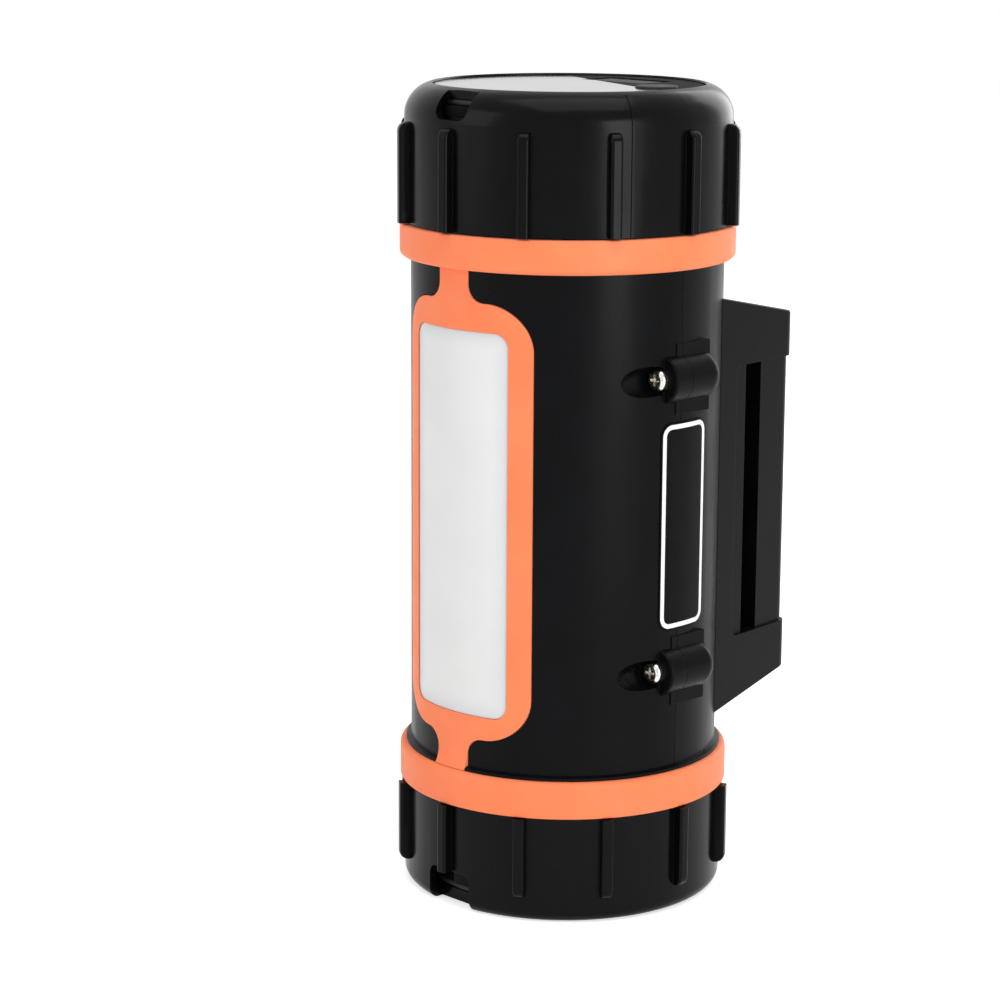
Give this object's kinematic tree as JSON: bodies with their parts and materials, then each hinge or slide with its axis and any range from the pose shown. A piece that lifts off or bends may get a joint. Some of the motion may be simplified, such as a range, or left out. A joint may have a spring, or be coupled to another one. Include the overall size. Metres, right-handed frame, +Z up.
{
  "type": "lantern flashlight",
  "caption": "Cylindrical hand lantern with a side area light, ribbed twist-lock end caps, a rear strap bracket and a recessed torch lens in its foot.",
  "frame": {"origin": "on the body's axis, in the plane of the foot", "axes": "+Z up along the body, -Y out of the area light, +Y out of the rear bracket"},
  "size_m": [0.0996, 0.1123, 0.235],
  "materials": {
    "shell_black": "fine satin moulded plastic",
    "cap_black": "satin moulded plastic",
    "panel_black": "polished",
    "orange_rubber": "soft matte overmould",
    "diffuser_white": "milky translucent",
    "black_rubber": "matte",
    "nickel": "nickel plated",
    "white_tray": "white reflective",
    "board_green": "solder mask",
    "led_yellow": "phosphor",
    "label_black": "bare",
    "label_white": "printed border",
    "clear_lens": "clear",
    "mirror_bowl": "metallised",
    "aluminium": "bare",
    "cell_wrap": "sleeved can",
    "holder_grey": "moulded",
    "chip_black": "moulded",
    "wire_red": "sheath",
    "wire_black": "sheath"
  },
  "bodies": {
    "root": {"battery_board": "board_green", "board_screws": "nickel", "bottom_seal": "black_rubber", "bracket_screws": "nickel", "bus_bars": "nickel", "cell_holder_base": "holder_grey", "cell_holder_middle": "holder_grey", "cell_holder_top": "holder_grey", "charge_socket": "chip_black", "control_board": "board_green", "control_parts": "chip_black", "front_shell": "shell_black", "heatsink_screws": "nickel", "label_outline": "label_white", "label_plate": "label_black", "lamp_lead": "wire_red", "lens_frame": "orange_rubber", "light_board": "board_green", "light_leds": "led_yellow", "light_panel": "diffuser_white", "light_tray": "white_tray", "lower_band": "orange_rubber", "lower_cells": "cell_wrap", "negative_lead": "wire_black", "pack_bolt": "nickel", "pack_nut": "nickel", "positive_lead": "wire_red", "power_switch": "chip_black", "rear_bracket": "shell_black", "rear_pad": "black_rubber", "rear_shell": "shell_black", "shell_screws": "nickel", "top_panel": "panel_black", "top_seal": "black_rubber", "torch_heatsink": "aluminium", "torch_lead": "wire_black", "torch_led": "led_yellow", "torch_lens": "clear_lens", "torch_reflector": "mirror_bowl", "tray_screws": "nickel", "upper_band": "orange_rubber", "upper_cells": "cell_wrap", "usb_socket": "nickel"},
    "top_cap": {"top_cap": "cap_black"},
    "bottom_cap": {"bottom_cap": "cap_black"},
    "power_button": {"power_button": "black_rubber"},
    "port_cover": {"port_cover": "black_rubber"}
  },
  "joints": [
    {"name": "top_cap_turn", "type": "hinge", "parent": "root", "child": "top_cap", "pos_m": [0, 0, 0.2], "axis": [0, 0, 1], "range_deg": [0, 35]},
    {"name": "bottom_cap_turn", "type": "hinge", "parent": "root", "child": "bottom_cap", "pos_m": [0, 0, 0.02], "axis": [0, 0, -1], "range_deg": [0, 35]},
    {"name": "power_button_press", "type": "slide", "parent": "root", "child": "power_button", "axis": [0, 0, -1], "range_m": [0, 0.001], "stiffness_N_per_m": 1500},
    {"name": "port_cover_open", "type": "hinge", "parent": "root", "child": "port_cover", "pos_m": [0, 0.0295, 0.2333], "axis": [-1, 0, 0], "range_deg": [0, 100]}
  ]
}
